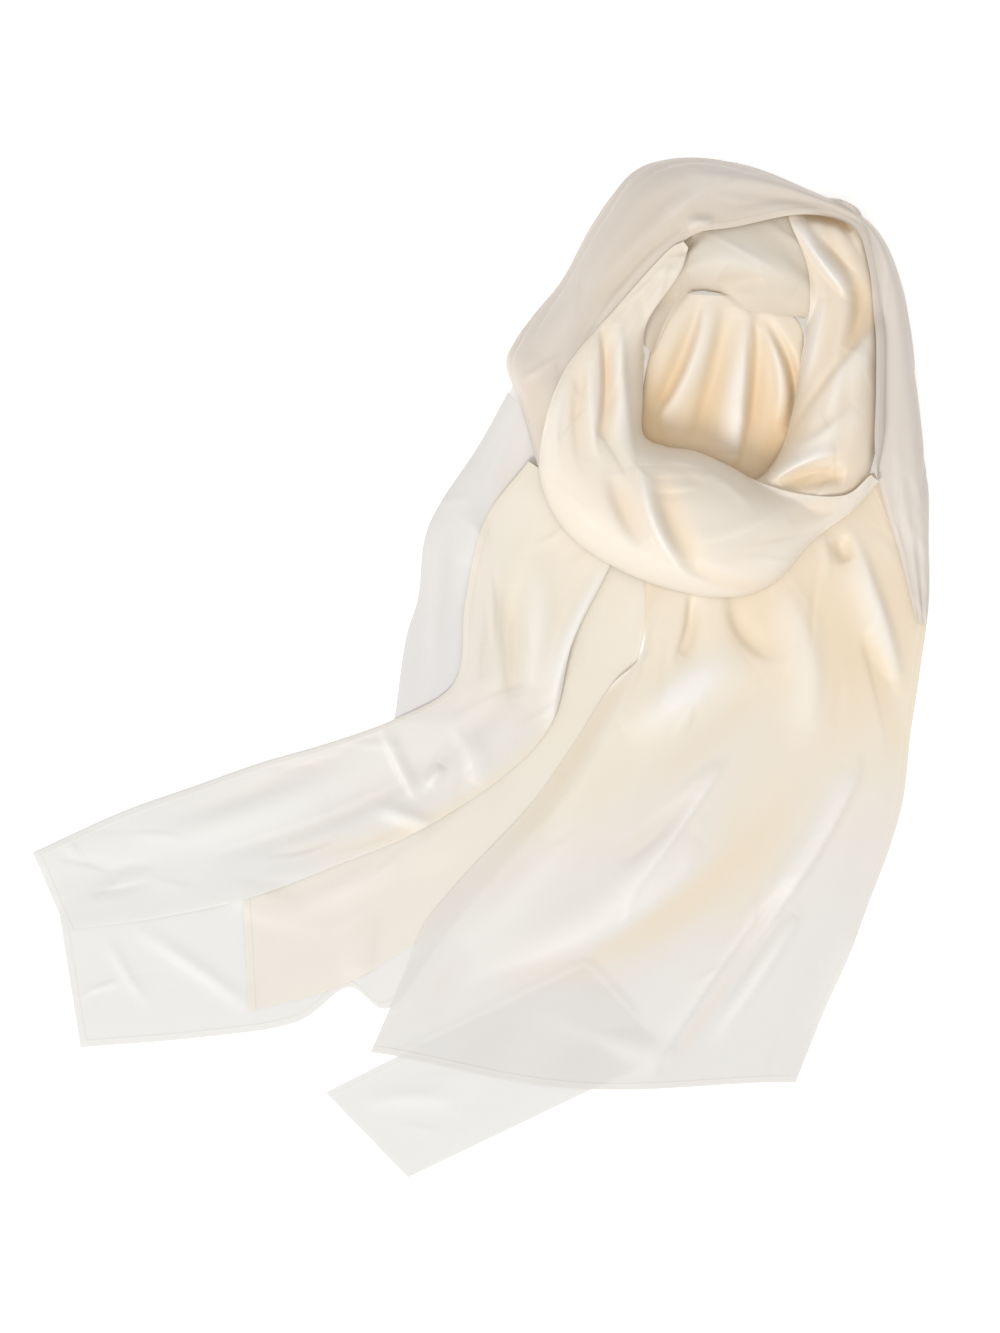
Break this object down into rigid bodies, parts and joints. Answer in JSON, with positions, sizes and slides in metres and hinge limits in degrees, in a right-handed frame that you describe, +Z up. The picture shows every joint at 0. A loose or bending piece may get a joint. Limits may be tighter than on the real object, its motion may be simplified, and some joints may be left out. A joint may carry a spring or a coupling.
{
  "type": "evening stole",
  "caption": "Long ivory satin-chiffon stole wound round an open neck loop and laid flat, with its ends spread to the left and to the front.",
  "frame": {"origin": "middle of the footprint, on the surface that the stole lies on", "axes": "+Z up from the surface, +Y from the hanging ends towards the neck loop, +X to the right of the loop"},
  "size_m": [0.7174, 0.814, 0.0626],
  "materials": {
    "stole_cloth": "ivory satin chiffon with a soft gloss, slightly see-through",
    "hidden_layers": "the same ivory cloth, wound in several layers"
  },
  "bodies": {
    "root": {"side_left": "stole_cloth", "side_right": "stole_cloth", "tail_left_lower": "stole_cloth", "tail_left_inner": "stole_cloth", "tail_left_upper": "stole_cloth", "tail_front_turnback": "stole_cloth", "tail_front": "stole_cloth", "neck_back": "stole_cloth", "ring_core": "hidden_layers", "loop_collar": "stole_cloth", "loop_right": "stole_cloth", "loop_hood": "stole_cloth", "loop_front": "stole_cloth"}
  },
  "joints": []
}
